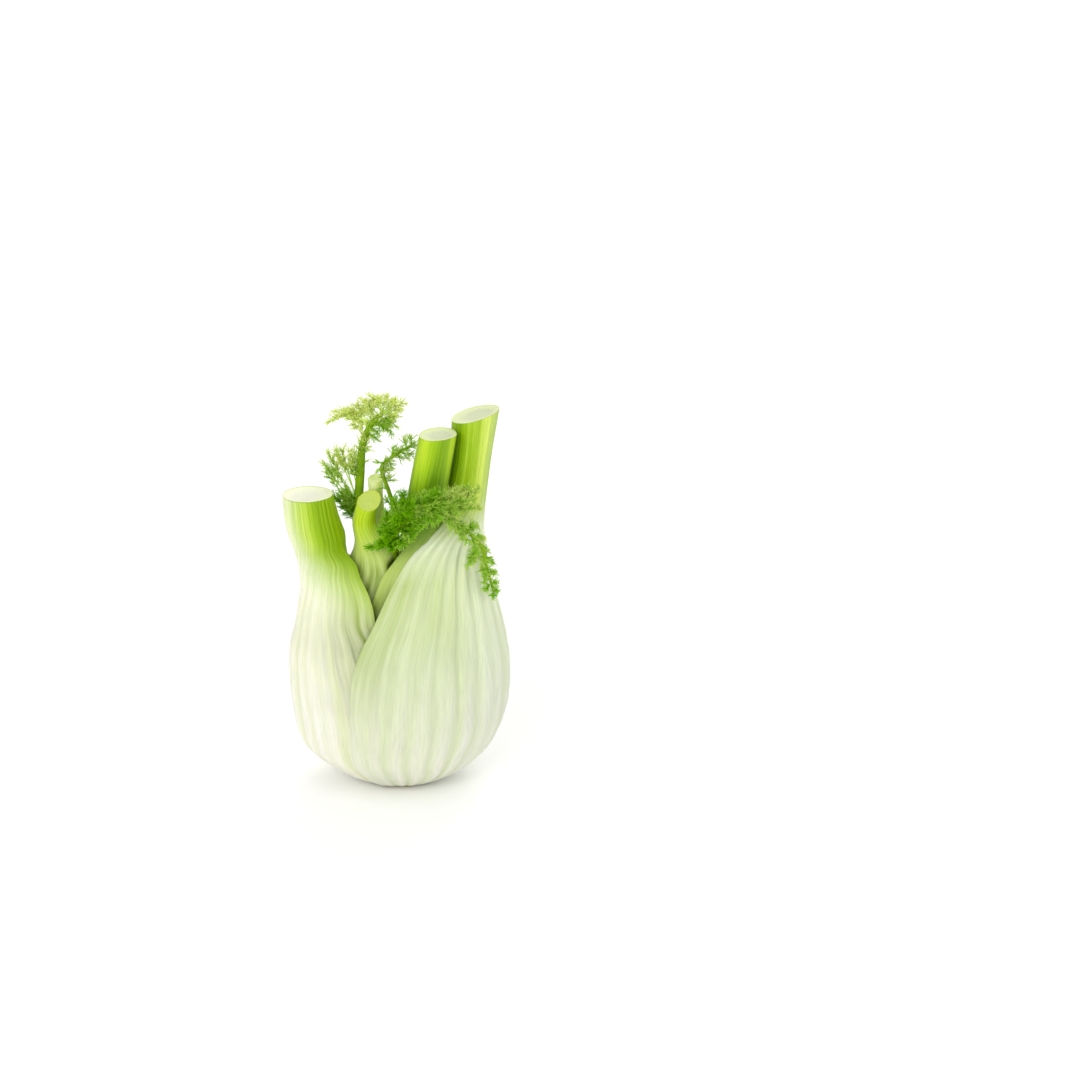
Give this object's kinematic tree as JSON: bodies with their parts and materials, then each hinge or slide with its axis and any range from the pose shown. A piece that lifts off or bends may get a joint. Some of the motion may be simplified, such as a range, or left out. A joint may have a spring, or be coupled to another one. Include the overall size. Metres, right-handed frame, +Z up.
{
  "type": "fennel bulb",
  "caption": "Trimmed Florence fennel bulb: ribbed fleshy leaf bases clasping a short stem, with cut stalks and young feathery fronds.",
  "frame": {"origin": "middle of the trimmed root end, on the surface that the bulb stands on", "axes": "+Z up through the bulb, X along the wide way across the flattened bulb, -Y towards its front"},
  "size_m": [0.0953, 0.0757, 0.1701],
  "materials": {
    "root_end": "matte",
    "flesh": "satin",
    "inner_flesh": "satin",
    "frond_green": "satin"
  },
  "bodies": {
    "root": {"stem_base": "root_end", "leaf_outer_right": "flesh", "leaf_outer_left": "flesh", "leaf_inner_right": "inner_flesh", "leaf_inner_left": "inner_flesh", "leaf_heart": "inner_flesh", "frond_tall": "frond_green", "frond_front": "frond_green", "frond_behind": "frond_green"}
  },
  "joints": []
}
